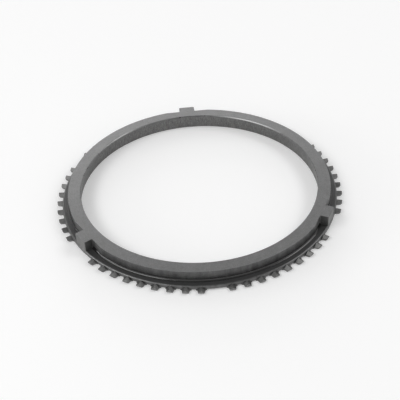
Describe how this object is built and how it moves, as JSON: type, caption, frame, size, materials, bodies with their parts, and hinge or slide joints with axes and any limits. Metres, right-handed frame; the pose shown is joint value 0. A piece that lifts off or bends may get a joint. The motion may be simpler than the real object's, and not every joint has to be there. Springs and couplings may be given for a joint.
{
  "type": "synchronizer ring",
  "caption": "Steel synchronizer ring: a conical friction bore, driving lugs on its shoulder and short roof-topped blocking teeth round a thin flange.",
  "frame": {"origin": "on the ring's axis, in the plane of its toothed bottom face", "axes": "+Z along the axis, from the toothed flange to the shoulder's face; +Y through the middle of one lug"},
  "size_m": [0.1924, 0.1913, 0.0106],
  "materials": {
    "machined_steel": "satin, turned dark grey steel"
  },
  "bodies": {
    "root": {"synchronizer_ring": "machined_steel"}
  },
  "joints": []
}
